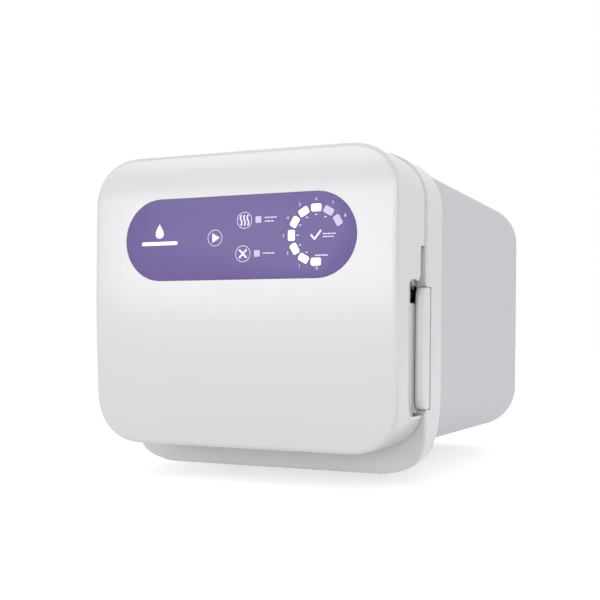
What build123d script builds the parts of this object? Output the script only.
from build123d import *
import os
from math import sin, cos, radians, degrees, atan2, sqrt

os.makedirs("parts", exist_ok=True)

# ---------------------------------------------------------------------------
# Benchtop autoclave with a round chamber of about five litres.
# X to the right, Y to the back (the door faces -Y), Z up, millimetres.
# Everything is laid out with y = 0 at the flat control panel on the door and
# z = 0 on the table; SHIFT_Y then puts the origin at the bottom centre.
# ---------------------------------------------------------------------------

# door cover
DW = 130.0            # half width of the door cover
DZ0, DZ1 = 27.0, 256.4
DR = 40.0             # corner radius of the door cover
DY1 = 67.4            # rear edge of the door cover
DWALL = 2.8
FRONT_R = 4.0         # rounding of the door's front edge
BULGE_LOW, BULGE_TOP = 7.5, 3.5   # how far the front falls back at its ends
FLAT_Z0, FLAT_Z1 = 157.0, 221.0   # flat band that carries the panel

# control panel
PZ = 189.2            # height of its centre
PW, PH = 198.2, 64.1  # stadium
FILM = 0.6
SINK = 0.15           # the film lies this far below the door face
RING_X, RING_R = 66.9, 20.0
KEYS = {"start_key": (-18.0, 189.5), "dry_key": (7.5, 202.1), "cancel_key": (6.3, 176.6)}
KEY_R = 6.5
KEY_TRAVEL = 0.5
LAMPS = [(19.3, 202.2), (18.2, 176.6)]

# bezel (front frame)
BW = 131.5
BZ0, BZ1 = 6.0, 260.6
BY0, BY1 = 68.2, 108.2
BWALL = 2.2

# casing
CW = 129.0
CZ0, CZ1 = 22.5, 258.3
CY0, CY1 = 84.0, 400.4
CR = 42.0
CWALL = 1.5

# chamber
CHZ = 141.0           # axis height
CHR = 76.0            # inner radius
CHW = 3.0
CHY0, CHY1 = 70.5, 351.0
CHBACK = 5.0
FLANGE_R = 90.0

# door hinge
HX, HY = -121.0, 58.3
HPIN_R = 3.5
LUG_Z = [(96.5, 102.5), (179.5, 185.5)]

# latch
LX0, LX1 = 125.6, 131.5   # lever thickness
LY0 = 57.5                # lever front edge
LZ0, LZ1 = 58.0, 153.0
LAX, LAY = 128.55, 76.5   # lever axis
LBAR_R = 2.95
KX, KY = 112.0, 80.0      # claw axis
CLAW_Z0, CLAW_Z1 = 143.2, 149.4
CLAW_REST = 22.0          # degrees away from engaged
SX, SY = 101.0, 60.2      # striker pin

# trays
TRAY_Z = {"tray_bottom": 109.0, "tray_middle": 141.0, "tray_top": 173.0}
TRAY_HW = 53.5
TRAY_Y0, TRAY_Y1 = 80.0, 330.0

# feet
FEET = [(-68, 140), (68, 140), (-44, 345), (44, 345)]
FOOT_H = 22.5

SHIFT_Y = -205.95


# ---------------------------------------------------------------- helpers --
def on_xz(y):
    return Plane(origin=(0, y, 0), x_dir=(1, 0, 0), z_dir=(0, -1, 0))


def prism(sk, y0, y1):
    """A sketch drawn in (x, z), made solid from y0 to y1."""
    return extrude(on_xz(y1) * sk, amount=y1 - y0)


def rrect(x0, x1, z0, z1, r):
    return Pos((x0 + x1) / 2, (z0 + z1) / 2) * RectangleRounded(x1 - x0, z1 - z0, r)


def box(x0, x1, y0, y1, z0, z1):
    return Pos((x0 + x1) / 2, (y0 + y1) / 2, (z0 + z1) / 2) * Box(x1 - x0, y1 - y0, z1 - z0)


def cyl_y(x, z, r, y0, y1):
    return Pos(x, (y0 + y1) / 2, z) * Rot(90, 0, 0) * Cylinder(r, y1 - y0)


def cyl_z(x, y, r, z0, z1):
    return Pos(x, y, (z0 + z1) / 2) * Cylinder(r, z1 - z0)


def cyl_x(y, z, r, x0, x1):
    return Pos((x0 + x1) / 2, y, z) * Rot(0, 90, 0) * Cylinder(r, x1 - x0)


def side_prism(pts_builder, x0, x1):
    """A face drawn in (y, z), made solid from x0 to x1."""
    pl = Plane(origin=(x0, 0, 0), x_dir=(0, 1, 0), z_dir=(1, 0, 0))
    return extrude(pl * pts_builder, amount=x1 - x0)


def door_profile(inset, y_end):
    """Side view of the door: front curve moved back by inset."""
    e = inset
    l1 = ThreePointArc((BULGE_LOW + e, DZ0 - 1), (BULGE_LOW * 0.25 + e, (DZ0 + FLAT_Z0) / 2), (e, FLAT_Z0))
    l2 = Line((e, FLAT_Z0), (e, FLAT_Z1))
    l3 = ThreePointArc((e, FLAT_Z1), (BULGE_TOP * 0.25 + e, (DZ1 + FLAT_Z1) / 2), (BULGE_TOP + e, DZ1 + 1))
    l4 = Polyline((BULGE_TOP + e, DZ1 + 1), (y_end, DZ1 + 1), (y_end, DZ0 - 1), (BULGE_LOW + e, DZ0 - 1))
    return make_face(Curve() + [l1, l2, l3, l4])


def bezel_outline(inset, bottom):
    """Front view of the bezel; the lower corners are broad and close to square at the sides."""
    w = BW - inset
    z1 = BZ1 - inset
    z0 = bottom
    rt = 43.0 - inset
    s = Spline((90 - inset * 0.6, z0), (106 - inset * 0.7, z0 + 1.8), (117 - inset * 0.8, z0 + 5.4), (126 - inset * 0.9, z0 + 12.6),
               (130.4 - inset, z0 + 24), (w, z0 + 42), tangents=[(1, 0), (0, 1)])
    m = Spline((-w, z0 + 42), (-130.4 + inset, z0 + 24), (-126 + inset * 0.9, z0 + 12.6), (-117 + inset * 0.8, z0 + 5.4),
               (-106 + inset * 0.7, z0 + 1.8), (-90 + inset * 0.6, z0), tangents=[(0, -1), (1, 0)])
    l1 = Line((w, z0 + 42), (w, z1 - rt))
    a1 = ThreePointArc((w, z1 - rt), (w - rt * (1 - 0.70711), z1 - rt * (1 - 0.70711)), (w - rt, z1))
    l2 = Line((w - rt, z1), (-w + rt, z1))
    a2 = ThreePointArc((-w + rt, z1), (-w + rt * (1 - 0.70711), z1 - rt * (1 - 0.70711)), (-w, z1 - rt))
    l3 = Line((-w, z1 - rt), (-w, z0 + 42))
    l4 = Line((-90 + inset * 0.6, z0), (90 - inset * 0.6, z0))
    return make_face(Curve() + [s, l1, a1, l2, a2, l3, m, l4])


def bezel_profile(inset):
    """Side view of the bezel: a foot at the front, curving up to the rear edge."""
    e = inset
    s = Spline((BY0 + 4, BZ0 + e), (80 - e * 0.3, 13.5 + e), (90 - e * 0.7, 27 + e * 0.6), (101 - e, 42), (BY1 + (0 if e == 0 else 1), 60),
               tangents=[(1, 0.15), (0.35, 1)])
    rest = Polyline((BY1 + (0 if e == 0 else 1), 60), (BY1 + (0 if e == 0 else 1), BZ1 + 5), (BY0 - 12, BZ1 + 5), (BY0 - 12, BZ0 + e), (BY0 + 4, BZ0 + e))
    return make_face(Curve() + [s, rest])


NODES = {}


def keep(name, shape):
    NODES[name] = shape


# ------------------------------------------------------------- door cover --
outline = rrect(-DW, DW, DZ0, DZ1, DR)
cover = prism(outline, -2, DY1) & side_prism(door_profile(0, DY1), -DW - 5, DW + 5)
front_edges = [e for e in cover.edges() if e.bounding_box().max.Y < 12.0]
cover = fillet(front_edges, FRONT_R)
inner = prism(rrect(-DW + DWALL, DW - DWALL, DZ0 + DWALL, DZ1 - DWALL, DR - DWALL), -2, DY1 + 1) \
    & side_prism(door_profile(DWALL, DY1 + 2), -DW - 5, DW + 5)
cover -= inner

# finger pocket in the right side wall
PK_Z0, PK_Z1 = 54.0, 157.5
PK_Y0, PK_X0 = 25.0, 112.0
pk_out = box(PK_X0 - 2.5, DW - 1.0, PK_Y0 - 2.5, DY1, PK_Z0 - 2.5, PK_Z1 + 2.5)
pk_in = box(PK_X0, DW + 3, PK_Y0, DY1 + 1, PK_Z0, PK_Z1)
pk_in = fillet(pk_in.edges().filter_by(Axis.X).group_by(Axis.Y)[0], 9.0)
cover = cover + (pk_out & prism(outline, -2, DY1))
cover -= pk_in
# the gap widens towards the pocket above it
wedge = side_prism(make_face(Polyline((DY1 + 1, 187), (DY1 - 0.6, 185), (55.5, PK_Z1 - 1), (DY1 + 1, PK_Z1 - 1), (DY1 + 1, 187))), 126.0, DW + 3)
cover -= wedge
# window through which the claw reaches into the pocket
cover -= box(PK_X0 - 4, PK_X0 + 1, 39.0, DY1 + 1, 134.5, 156.0)

# rear left edge is round about the hinge axis, with slots for the two lugs
corner_cut = box(-140, HX, HY, DY1 + 2, 20, 260) - cyl_z(HX, HY, 9.0, 10, 270)
cover -= corner_cut
for z0, z1 in LUG_Z:
    cover -= box(-140, -119, 47.5, DY1 + 2, z0 - 0.8, z1 + 0.8)

# film seat, key pockets and light openings in the front wall
cover -= prism(Pos(0, PZ) * SlotOverall(PW + 0.4, PH + 0.4), -1, SINK + FILM)
key_holes = []
for x, z in KEYS.values():
    cover -= cyl_y(x, z, KEY_R + 0.5, -1, SINK + 1.5)
    cover -= cyl_y(x, z, 4.4, -1, 8)

LIT = [270, 240, 210, 180, 150, 120, 90]
UNLIT = [60, 30]


def window(angle, grow=0.0, y0=SINK, y1=DWALL):
    a = radians(angle)
    sk = Pos(RING_X + RING_R * cos(a), PZ + RING_R * sin(a)) * Rot(0, 0, angle) * RectangleRounded(5.5 + grow, 8.0 + grow, 1.3)
    return prism(sk, y0, y1)


for a in LIT + UNLIT:
    cover -= window(a, 0.2, -1, 8)
for x, z in LAMPS:
    cover -= prism(rrect(x - 2.6, x + 2.6, z - 2.6, z + 2.6, 0.8), -1, 8)

# posts for the display board and for the liner
BOARD_POSTS = [(-88, 166), (-88, 212), (88, 166), (88, 212)]
LINER_POSTS = [(-100, 44), (98, 40), (-100, 240), (100, 240)]
for x, z in BOARD_POSTS:
    cover += cyl_y(x, z, 3.5, 2.0, 9.5) - cyl_y(x, z, 1.2, 4.0, 12)
for x, z in LINER_POSTS:
    cover += cyl_y(x, z, 4.5, 7.2 if z < 100 else 2.6, 60.0) - cyl_y(x, z, 1.6, 40, 70)
keep("door_cover", cover)

# ---------------------------------------------------------- control panel --
film = prism(Pos(0, PZ) * SlotOverall(PW, PH), SINK, SINK + FILM)
for x, z in KEYS.values():
    film -= cyl_y(x, z, KEY_R + 0.2, -1, 2)
for a in LIT + UNLIT:
    film -= window(a, 0.2, -1, 2)
for x, z in LAMPS:
    film -= prism(rrect(x - 2.6, x + 2.6, z - 2.6, z + 2.6, 0.8), -1, 2)
keep("panel_overlay", film)
keep("led_windows_lit", Compound(children=[window(a) for a in LIT]))
keep("led_windows_unlit", Compound(children=[window(a) for a in UNLIT]))
keep("indicator_lamps", Compound(children=[prism(rrect(x - 2.5, x + 2.5, z - 2.5, z + 2.5, 0.7), SINK, DWALL) for x, z in LAMPS]))
for name, (x, z) in KEYS.items():
    keep(name, cyl_y(x, z, KEY_R, SINK, SINK + 0.7) + cyl_y(x, z, 3.9, SINK + 0.6, 7.0))

BY = 9.5
board = box(-94, 94, BY, BY + 1.6, 161, 217)
for x, z in BOARD_POSTS:
    board -= cyl_y(x, z, 1.6, BY - 1, BY + 3)
keep("display_board", board)
leds = [box(x - 3, x + 3, 7.7, BY, z - 3, z + 3) for x, z in KEYS.values()]
for a in LIT + UNLIT:
    r = radians(a)
    lx, lz = RING_X + RING_R * cos(r), PZ + RING_R * sin(r)
    leds.append(box(lx - 1.5, lx + 1.5, 8.0, BY, lz - 1.0, lz + 1.0))
for x, z in LAMPS:
    leds.append(box(x - 1.5, x + 1.5, 8.0, BY, z - 1.0, z + 1.0))
keep("board_switches_and_leds", Compound(children=leds))
DOOR_SCREWS = [cyl_y(x, z, 2.8, BY + 1.6, BY + 3.4) + cyl_y(x, z, 1.15, 5.0, BY + 2) for x, z in BOARD_POSTS]

# ------------------------------------------------------------- door inside --
LN0, LN1 = 60.0, 62.5
liner = prism(rrect(-DW + DWALL + 0.3, DW - DWALL - 0.3, DZ0 + DWALL + 0.3, DZ1 - DWALL - 0.3, DR - DWALL - 0.3), LN0, LN1)
rim = prism(rrect(-DW + DWALL + 0.3, DW - DWALL - 0.3, DZ0 + DWALL + 0.3, DZ1 - DWALL - 0.3, DR - DWALL - 0.3), LN1 - 0.2, 66.6) \
    - prism(rrect(-DW + DWALL + 2.5, DW - DWALL - 2.5, DZ0 + DWALL + 2.5, DZ1 - DWALL - 2.5, DR - DWALL - 2.5), LN1 - 1, 70)
liner += rim
liner -= cyl_y(0, CHZ, 88.5, 50, 70)
liner += cyl_y(0, CHZ, 92.0, LN0, 66.0) - cyl_y(0, CHZ, 89.0, 50, 70)
liner -= box(PK_X0 - 3.0, 140, 50, 70, PK_Z0 - 3.0, PK_Z1 + 3.0)
liner -= box(86.5, 125, 50, 70, 132.0, 162.0)
liner -= box(-140, HX + 8, 50, 70, LUG_Z[0][0] - 4.0, LUG_Z[1][1] + 5.0)
liner -= box(-140, -92.5, 50, 70, 108, 174)
liner -= box(-140, HX, HY, DY1 + 2, 20, 260) - cyl_z(HX, HY, 8.6, 10, 270)
for x, z in LINER_POSTS:
    liner -= cyl_y(x, z, 2.2, 50, 70)
liner = max(liner.solids(), key=lambda s: s.volume)
keep("door_liner", liner)
keep("door_screws", Compound(children=DOOR_SCREWS + [cyl_y(x, z, 3.8, LN1, LN1 + 1.9) - box(x - 2.4, x + 2.4, LN1 + 1.0, LN1 + 3, z - 0.5, z + 0.5) - box(x - 0.5, x + 0.5, LN1 + 1.0, LN1 + 3, z - 2.4, z + 2.4)
     + cyl_y(x, z, 1.55, 48, LN1 + 0.5) for x, z in LINER_POSTS]))

# pressure door: a turned disc with a groove for the seal
PD0, PD1 = 57.5, 64.5
prof = Polyline((0, PD0), (60, PD0), (66, PD0 + 1.5), (84, PD0 + 1.5), (86, PD0 + 3.5), (86, PD1), (82.8, PD1), (82.8, PD1 - 2), (75.2, PD1 - 2),
                (75.2, PD1), (70, PD1), (67, PD1 - 2.5), (12, PD1 - 2.5), (9, PD1 - 1.2), (0, PD1 - 1.2), (0, PD0))


def turned(curve, x, z):
    """Revolve an (r, y) outline about the line along Y through (x, z)."""
    f = make_face(Curve() + [curve])
    s = revolve(f, Axis.Y, 360)
    return Pos(x, 0, z) * s


keep("pressure_door", turned(prof, 0, CHZ) - cyl_y(0, CHZ, 6.0, 50, PD0 + 2.5))
seal = Polyline((75.4, 62.6), (82.6, 62.6), (82.6, 66.6), (80.8, 67.6), (80.0, 70.1), (77.6, 70.1), (76.9, 67.6), (75.4, 66.6), (75.4, 62.6))
keep("door_gasket", turned(seal, 0, CHZ))

yoke = box(-116, 96, 44, 52, 127, 155)
yoke = fillet(yoke.edges().filter_by(Axis.Y), 6)
yoke -= cyl_y(0, CHZ, 6.2, 40, 60)
for x in (-108, -100):
    for z in (133, 149):
        yoke -= cyl_y(x, z, 2.1, 40, 60)
for z in (138, 148):
    yoke -= cyl_y(91.5, z, 1.6, 40, 60)
keep("door_yoke", yoke)
keep("door_spindle", cyl_y(0, CHZ, 6.0, 33, PD0 + 2.5) - cyl_y(0, CHZ, 2.5, 32, 37))
nut = prism(Pos(0, CHZ) * RegularPolygon(10.5, 6), 36, 44) - cyl_y(0, CHZ, 6.0, 30, 50)
nut2 = prism(Pos(0, CHZ) * RegularPolygon(10.5, 6), 52, 57.4) - cyl_y(0, CHZ, 6.0, 30, 60)
keep("spindle_nuts", Compound(children=[nut, nut2]))

arm = cyl_z(HX, HY, 5.5, 103.2, 178.8) + box(HX, -94, 52, 57, 112, 170)
arm -= cyl_z(HX, HY, HPIN_R + 0.05, 90, 190)
for x in (-108, -100):
    for z in (133, 149):
        arm -= cyl_y(x, z, 2.1, 40, 60)
keep("door_hinge_arm", arm)
YOKE_SCREWS = [cyl_y(x, z, 2.05, 42, 57) + cyl_y(x, z, 3.8, 40.5, 44) for x in (-108, -100) for z in (133, 149)]

strk = box(88, 97.3, 52, 64.5, 134, 160)
strk += box(88, 106, 55.5, 64.5, 134, 140.2) + box(88, 106, 55.5, 64.5, 152.8, 160)
strk -= cyl_z(SX, SY, 3.0, 130, 165)
for z in (138, 148):
    strk -= cyl_y(91.5, z, 1.6, 50, 60)
keep("striker_bracket", strk)
keep("striker_pin", cyl_z(SX, SY, 3.0, 134, 160))
keep("yoke_screws", Compound(children=YOKE_SCREWS + [cyl_y(91.5, z, 1.55, 42, 60) + cyl_y(91.5, z, 2.6, 41.5, 44) for z in (138, 148)]))

# ----------------------------------------------------------------- bezel --
bez = prism(bezel_outline(0, BZ0), BY0, BY1) & side_prism(bezel_profile(0), -140, 140)
bez = fillet([e for e in bez.edges() if e.bounding_box().max.Y < BY0 + 0.1], 2.0)
hollow = prism(bezel_outline(BWALL, BZ0 + BWALL), BY0 + 2.8, BY1 + 2) & side_prism(bezel_profile(BWALL), -140, 140)
bez -= hollow
bez -= prism(rrect(-CW - 0.3, CW + 0.3, CZ0 - 0.3, CZ1 + 0.3, CR + 0.3), CY0 - 0.5, BY1 + 5)
bez -= cyl_y(0, CHZ, FLANGE_R + 0.6, 60, 80)
# lever bay in the right side
bay_out = box(123.3, BW - 1.0, LY0, 81.9, LZ0 - 2.2, LZ1 + 2.4)
bay_top = box(123.3, LX1 - 0.2, BY0, 81.9, LZ0 - 2.2, LZ1 + 2.4)
bez += box(123.3, 125.1, LY0, 81.9, LZ0 - 2.2, LZ1 + 2.4) + bay_top
bay_in = box(125.1, BW + 5, LY0 - 5, 79.9, LZ0 - 0.4, LZ1 + 0.4)
bez -= bay_in
bez -= box(120, 125.6, LY0 - 2, BY0 - 0.5, 139.6, LZ1 + 5)      # window in the bay wall
# hinge lug slots and the claw's window in the front wall
for z0, z1 in LUG_Z:
    bez -= box(-127.6, -114.4, 60, 75, z0 - 0.6, z1 + 0.6)
bez -= prism(make_face(Polyline((103, 140.5), (119.0, 140.5), (122.9, 144.0), (122.9, 153.0), (119.0, 157.2), (103, 157.2), (103, 140.5))), 60, 75)
bez -= cyl_z(LAX, LAY, 1.5, 50, 160)
BEZ_SCREWS = [(-112, 52), (112, 38), (-104, 236), (104, 236), (0, 34), (0, 246)]
for x, z in BEZ_SCREWS:
    bez -= cyl_y(x, z, 3.6, BY0 - 1, BY0 + 1.7) + cyl_y(x, z, 1.8, BY0, 75)
keep("front_bezel", max(bez.solids(), key=lambda s: s.volume))
keep("bezel_screws", Compound(children=[cyl_y(x, z, 3.4, BY0 + 0.2, BY0 + 1.7) - box(x - 2.2, x + 2.2, BY0, BY0 + 0.8, z - 0.45, z + 0.45) - box(x - 0.45, x + 0.45, BY0, BY0 + 0.8, z - 2.2, z + 2.2)
     + cyl_y(x, z, 1.75, BY0 + 1, 79) for x, z in BEZ_SCREWS]))

# ----------------------------------------------------------------- lever --
lever = box(LX0, LX1, LY0, LAY, LZ0, LZ1)
lever = fillet(lever.edges().filter_by(Axis.X).group_by(Axis.Y)[0], 7.0)
lever = fillet([e for e in lever.edges() if e.bounding_box().min.X > LX1 - 0.1 and e.bounding_box().min.Y < LAY - 1], 1.2)
lever += cyl_z(LAX, LAY, LBAR_R, LZ0, LZ1)
lever -= cyl_z(LAX, LAY, 1.55, 50, 160)
grip = box(LX0 - 1, LX0 + 1.6, LY0 + 2.4, LY0 + 13, LZ0 + 10, LZ1 - 10)
lever -= grip
keep("door_lever", lever)
keep("lever_pin", cyl_z(LAX, LAY, 1.5, LZ0 - 2.2, LZ1 + 2.4))

# ------------------------------------------------------------------ claw --
claw = cyl_z(KX, KY, 6.0, CLAW_Z0, CLAW_Z1) + box(106.5, 112.5, 52.7, 80, CLAW_Z0, CLAW_Z1) + box(98, 110, 52.7, 56.2, CLAW_Z0, CLAW_Z1)
claw -= cyl_z(KX, KY, 2.55, 130, 170)
claw = Pos(KX, KY, 0) * Rot(0, 0, CLAW_REST) * Pos(-KX, -KY, 0) * claw
keep("latch_claw", claw)
keep("claw_pin", cyl_z(KX, KY, 2.5, 136, 157))
lb = box(81.0, 121, 86.1, 90, 130, 163) - cyl_y(0, CHZ, 79.6, 80, 95)
for z0, z1 in ((136, 141.6), (151.4, 157)):
    lb += box(104, 120, 72.5, 87, z0, z1)
lb -= cyl_z(KX, KY, 2.5, 130, 170)
keep("latch_bracket", lb)

# ----------------------------------------------------------------- hinge --
hb = box(-127.2, -81.0, 86.1, 90, 94, 188) - cyl_y(0, CHZ, 79.6, 80, 95)
for z0, z1 in LUG_Z:
    lug = box(HX - 5.5, HX + 5.5, HY, 87, z0, z1) + cyl_z(HX, HY, 5.5, z0, z1)
    hb += lug
hb -= cyl_z(HX, HY, HPIN_R, 90, 192)
keep("hinge_bracket", hb)
keep("hinge_pin", cyl_z(HX, HY, HPIN_R, 94.5, 187) + cyl_z(HX, HY, 5.2, 185.5, 188.5))

# --------------------------------------------------------------- chamber --
cprof = Polyline((CHR, CHY0), (CHR + CHW, CHY0), (CHR + CHW, CHY1), (0, CHY1), (0, CHY1 - CHBACK), (CHR, CHY1 - CHBACK), (CHR, CHY0))
ch = turned(cprof, 0, CHZ)
PORTS = {"drain": (0, 80), "steam": (40, 178), "sensor": (-35, 175), "valve": (55, 150)}
for x, z in PORTS.values():
    ch -= cyl_y(x, z, 3.0, CHY1 - CHBACK - 1, CHY1 + 1)
keep("chamber", ch)
fprof = Polyline((CHR + CHW, CHY0), (FLANGE_R - 1.5, CHY0), (FLANGE_R, CHY0 + 1.5), (FLANGE_R, 86), (CHR + CHW, 86), (CHR + CHW, CHY0))
fl = turned(fprof, 0, CHZ)
keep("chamber_flange", fl)
FB = []
for s, x in ((-1, -85.5), (1, 85.5)):
    for dz in (-7.5, 7.5):
        FB.append((x, CHZ + dz + (5.5 if s > 0 else 0)))
keep("bracket_screws", Compound(children=[cyl_y(x, z, 2.4, 90.0, 93.0) for x, z in FB]))
hbnd = turned(Polyline((79.1, 190), (81.4, 190), (81.4, 300), (79.1, 300), (79.1, 190)), 0, CHZ)
hbnd -= box(-1.5, 1.5, 185, 305, CHZ + 70, CHZ + 90)
hbnd += box(2, 8, 205, 215, CHZ + 81.2, CHZ + 86) + box(2, 8, 275, 285, CHZ + 81.2, CHZ + 86)
keep("heater_band", max(hbnd.solids(), key=lambda s: s.volume))
bl = turned(Polyline((82.2, 132), (94, 132), (94, 314), (82.2, 314), (82.2, 132)), 0, CHZ) \
    - box(-12, 12, 100, 340, CHZ + 70, CHZ + 100)
keep("insulation_blanket", bl)
sad = []
for y in (118, 322):
    s = box(-64, 64, y, y + 3, 25.6, 100) - cyl_y(0, CHZ, 79.0, y - 5, y + 8)
    s += box(-64, 64, y, y + 16, 25.6, 27.6)
    s -= box(-30, 30, y - 1, y + 8, 30, 55)
    sad.append(s)
keep("chamber_saddles", Compound(children=sad))
keep("base_plate", prism(rrect(-84, 84, 24.0, 25.6, 0.5), 92, 392))

# ------------------------------------------------------------ tray rack --
TK = 1.2
rk = None
for sx in (-1, 1):
    w = box(min(sx * 55.2, sx * 56.4), max(sx * 55.2, sx * 56.4), 84, 334, 98, 188)
    for z in TRAY_Z.values():
        w += box(min(sx * 46, sx * 56), max(sx * 46, sx * 56), 84, 334, z - TK - 0.3, z - 0.3)
    for y in (110, 165, 220, 275):
        for zz in (116, 148):
            w -= box(sx * 50 - 10, sx * 50 + 10, y, y + 35, zz + 2, zz + 18)
    rk = w if rk is None else rk + w
for y in (90, 318):
    rk += box(-56, 56, y, y + 8, 98, 98 + TK)
keep("tray_rack", rk)
for name, z in TRAY_Z.items():
    t = box(-TRAY_HW, TRAY_HW, TRAY_Y0, TRAY_Y1, z, z + 13)
    t = fillet(t.edges().filter_by(Axis.Z), 8)
    t -= box(-TRAY_HW + 1, TRAY_HW - 1, TRAY_Y0 + 1, TRAY_Y1 - 1, z + 1, z + 20)
    t -= Pos(0, 0, 0) * box(-18, 18, TRAY_Y0 - 2, TRAY_Y0 + 2, z + 8, z + 20)
    for i in range(6):
        for j in (-1, 0, 1):
            cx, cy = j * 30, TRAY_Y0 + 38 + i * 35
            t -= box(cx - 11, cx + 11, cy - 2.2, cy + 2.2, z - 1, z + 2)
    keep(name, max(t.solids(), key=lambda s: s.volume))

# ---------------------------------------------------------------- casing --
cs = prism(rrect(-CW, CW, CZ0, CZ1, CR), CY0, CY1)
cs = fillet([e for e in cs.edges() if e.bounding_box().min.Y > CY1 - 0.1], 3.0)
cs -= prism(rrect(-CW + CWALL, CW - CWALL, CZ0 + CWALL, CZ1 - CWALL, CR - CWALL), CY0 - 1, CY1 - 1.6)
cs -= prism(rrect(-CW + 13, CW - 13, CZ0 + 13, CZ1 - 13, CR - 13), CY1 - 5, CY1 + 1)
BP_SCREWS = [(-90, CZ0 + 7.5), (90, CZ0 + 7.5), (-90, CZ1 - 7.5), (90, CZ1 - 7.5), (-CW + 7.5, 90), (-CW + 7.5, 192), (CW - 7.5, 90), (CW - 7.5, 192)]
for x, z in BP_SCREWS:
    cs -= cyl_y(x, z, 1.9, CY1 - 5, CY1 + 1)
keep("body_casing", cs)

BPY0, BPY1 = 396.8, 398.7
bp = prism(rrect(-CW + 2, CW - 2, CZ0 + 2, CZ1 - 2, CR - 2), BPY0, BPY1)
IN_X, IN_Z = -66, 62
SW_X, SW_Z = -66, 100
bp -= prism(rrect(IN_X - 14.2, IN_X + 14.2, IN_Z - 10.6, IN_Z + 10.6, 3), 390, 402)
bp -= prism(rrect(SW_X - 14.2, SW_X + 14.2, SW_Z - 10.2, SW_Z + 10.2, 1.5), 390, 402)
FUSES = [(-36, 54), (-36, 74)]
for x, z in FUSES:
    bp -= cyl_y(x, z, 6.5, 390, 402)
OUT_X, OUT_Z = 62, 62
SV_X, SV_Z = 55, 186
bp -= cyl_y(OUT_X, OUT_Z, 6.1, 390, 402)
bp -= cyl_y(SV_X, SV_Z, 7.6, 390, 402)
for i in range(9):
    bp -= prism(rrect(-92, -42, 150 + i * 9, 153.5 + i * 9, 1.7), 390, 402)
for x, z in BP_SCREWS:
    bp -= cyl_y(x, z, 1.9, 390, 402)
keep("back_panel", bp)
keep("back_panel_screws", Compound(children=[cyl_y(x, z, 3.6, CY1, CY1 + 2.0) - box(x - 2.3, x + 2.3, CY1 + 1.1, CY1 + 3, z - 0.45, z + 0.45) - box(x - 0.45, x + 0.45, CY1 + 1.1, CY1 + 3, z - 2.3, z + 2.3)
     + cyl_y(x, z, 1.85, 390, CY1 + 0.5) for x, z in BP_SCREWS]))

# rear fittings
inlet = prism(rrect(IN_X - 14, IN_X + 14, IN_Z - 10.4, IN_Z + 10.4, 2.8), 376, 399)
inlet += prism(rrect(IN_X - 19, IN_X + 19, IN_Z - 13.5, IN_Z + 13.5, 4), 398.7, 401.2)
cav = prism(make_face(Polyline((IN_X - 12, IN_Z - 8), (IN_X + 12, IN_Z - 8), (IN_X + 12, IN_Z + 4), (IN_X + 8, IN_Z + 8), (IN_X - 8, IN_Z + 8), (IN_X - 12, IN_Z + 4), (IN_X - 12, IN_Z - 8))), 384, 405)
inlet -= cav
keep("power_inlet", inlet)
keep("inlet_pins", Compound(children=[box(IN_X + dx - 1, IN_X + dx + 1, 380, 397, IN_Z + dz - 2, IN_Z + dz + 2) for dx, dz in ((-7, -2), (7, -2), (0, 2.5))]))
NODES["power_inlet"] = NODES["power_inlet"] - Compound(children=[box(IN_X + dx - 1, IN_X + dx + 1, 379.9, 390, IN_Z + dz - 2, IN_Z + dz + 2) for dx, dz in ((-7, -2), (7, -2), (0, 2.5))])
swh = prism(rrect(SW_X - 14, SW_X + 14, SW_Z - 10, SW_Z + 10, 1.2), 378, 399) + prism(rrect(SW_X - 16, SW_X + 16, SW_Z - 12, SW_Z + 12, 2), 398.7, 400.7)
swh -= box(SW_X - 11.5, SW_X + 11.5, 382, 405, SW_Z - 7.8, SW_Z + 7.8)
RK_Y = 394.0
swh -= cyl_x(RK_Y, SW_Z, 1.0, SW_X - 13, SW_X + 13)
keep("switch_housing", swh)
rock = box(SW_X - 11, SW_X + 11, RK_Y, 401.6, SW_Z - 6.2, SW_Z + 6.2) + cyl_x(RK_Y, SW_Z, 3.2, SW_X - 11, SW_X + 11)
rock -= cyl_x(RK_Y + 22, SW_Z, 15.4, SW_X - 12, SW_X + 12)
rock += cyl_x(RK_Y, SW_Z, 0.95, SW_X - 12.9, SW_X + 12.9)
rock = Pos(0, RK_Y, SW_Z) * Rot(-8, 0, 0) * Pos(0, -RK_Y, -SW_Z) * rock
keep("power_rocker", rock)
keep("fuse_holders", Compound(children=[cyl_y(x, z, 6.3, 372, 399) + cyl_y(x, z, 8.0, 398.7, 406) - box(x - 5, x + 5, 404.5, 407, z - 0.6, z + 0.6) for x, z in FUSES]))

so = cyl_y(OUT_X, OUT_Z, 6.0, 380, 399) + cyl_y(OUT_X, OUT_Z, 9.0, 398.7, 401.7) + cyl_y(OUT_X, OUT_Z, 4.2, 399, 411.5)
for y in (404, 407.5):
    so += turned(Polyline((0, y), (5.0, y), (4.2, y + 3), (0, y + 3), (0, y)), OUT_X, OUT_Z)
so -= cyl_y(OUT_X, OUT_Z, 2.6, 370, 420)
keep("discharge_outlet", so)
svb = cyl_y(SV_X, SV_Z, 7.5, 384, 399) + prism(Pos(SV_X, SV_Z) * RegularPolygon(11.5, 6), 398.7, 404.5) + cyl_y(SV_X, SV_Z, 5.6, 404, 407.2)
svb -= cyl_y(SV_X, SV_Z, 2.2, 392, 412)
keep("safety_valve", svb)
keep("valve_pull", cyl_y(SV_X, SV_Z, 2.1, 394, 408.5) + prism(rrect(SV_X - 6, SV_X + 6, SV_Z - 6, SV_Z + 6, 5.9), 408.0, 411.9))

# plumbing
def pipe(pts, r, rad):
    path = FilletPolyline(*pts, radius=rad)
    pl = Plane(origin=path @ 0, z_dir=path % 0)
    return sweep(pl * Circle(r), path=path)


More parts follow.
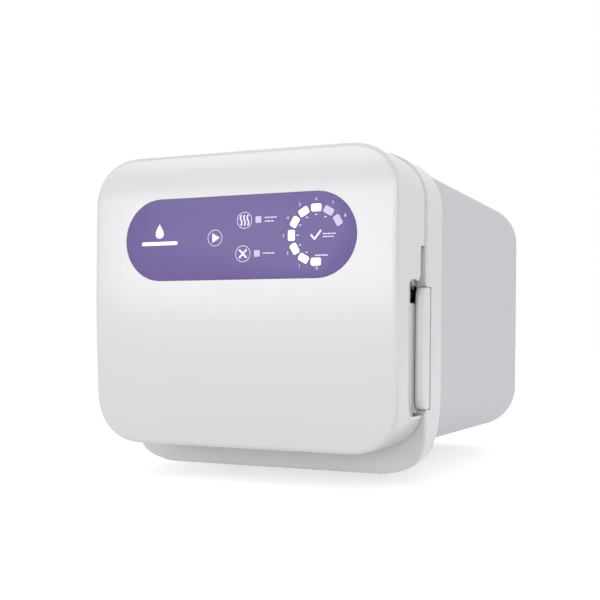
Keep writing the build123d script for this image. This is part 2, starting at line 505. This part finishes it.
keep("steam_pipes", Compound(children=[
    pipe([(0, 346.2, 80), (0, 364, 80), (0, 364, 62), (20, 364, 62)], 2.9, 6.0),
    pipe([(40, 346.2, 178), (40, 362, 178), (55, 362, 186), (55, 384, 186)], 2.9, 4.0),
    pipe([(50, 364, 62), (62, 364, 62), (62, 380, 62)], 2.9, 6.0)]))
sol = box(20, 44, 352.5, 376, 50, 74) + cyl_z(32, 366, 9, 74, 104) + cyl_x(364, 62, 4.5, 44, 50)
keep("solenoid_valve", sol)
coil = cyl_z(32, 366, 13, 76, 100) - cyl_z(32, 366, 9.1, 70, 110)
keep("solenoid_coil", coil)
keep("chamber_sensors", Compound(children=[
    cyl_y(-20, 110, 12, CHY1, CHY1 + 9) + cyl_y(-20, 110, 6, CHY1 + 9, CHY1 + 13),
    cyl_y(-35, 175, 2.9, 338, CHY1 + 12) + prism(Pos(-35, 175) * RegularPolygon(7, 6), CHY1, CHY1 + 6),
    cyl_y(55, 150, 2.9, CHY1 - CHBACK, CHY1 + 4) + prism(Pos(55, 150) * RegularPolygon(9, 6), CHY1, CHY1 + 7) + cyl_y(55, 150, 7, CHY1 + 7, CHY1 + 26)]))
pb = box(-112, -110.4, 200, 340, 44, 134)
keep("power_board", pb)
keep("power_board_parts", Compound(children=[box(-110.4, -92, 215, 245, 60, 90), cyl_x(262, 75, 9, -110.4, -90), box(-110.4, -96, 285, 312, 56, 84),
     box(-110.4, -97, 215, 235, 100, 120)]))
keep("board_stands", Compound(children=[cyl_x(y, z, 3.5, -127.4, -112) for y in (208, 332) for z in (68, 126)]))

# feet
ft = []
for x, y in FEET:
    f = Pos(x, y, FOOT_H / 2) * Cone(9.5, 11.5, FOOT_H)
    f = fillet(f.edges().group_by(Axis.Z)[0], 1.5)
    ft.append(f)
keep("rubber_feet", Compound(children=ft))

# ---------------------------------------------------------------- export --
for name, shape in NODES.items():
    sols = [Pos(0, SHIFT_Y, 0) * s for s in shape.solids()]
    export_step(sols[0] if len(sols) == 1 else Compound(children=sols), f"parts/{name}.step")
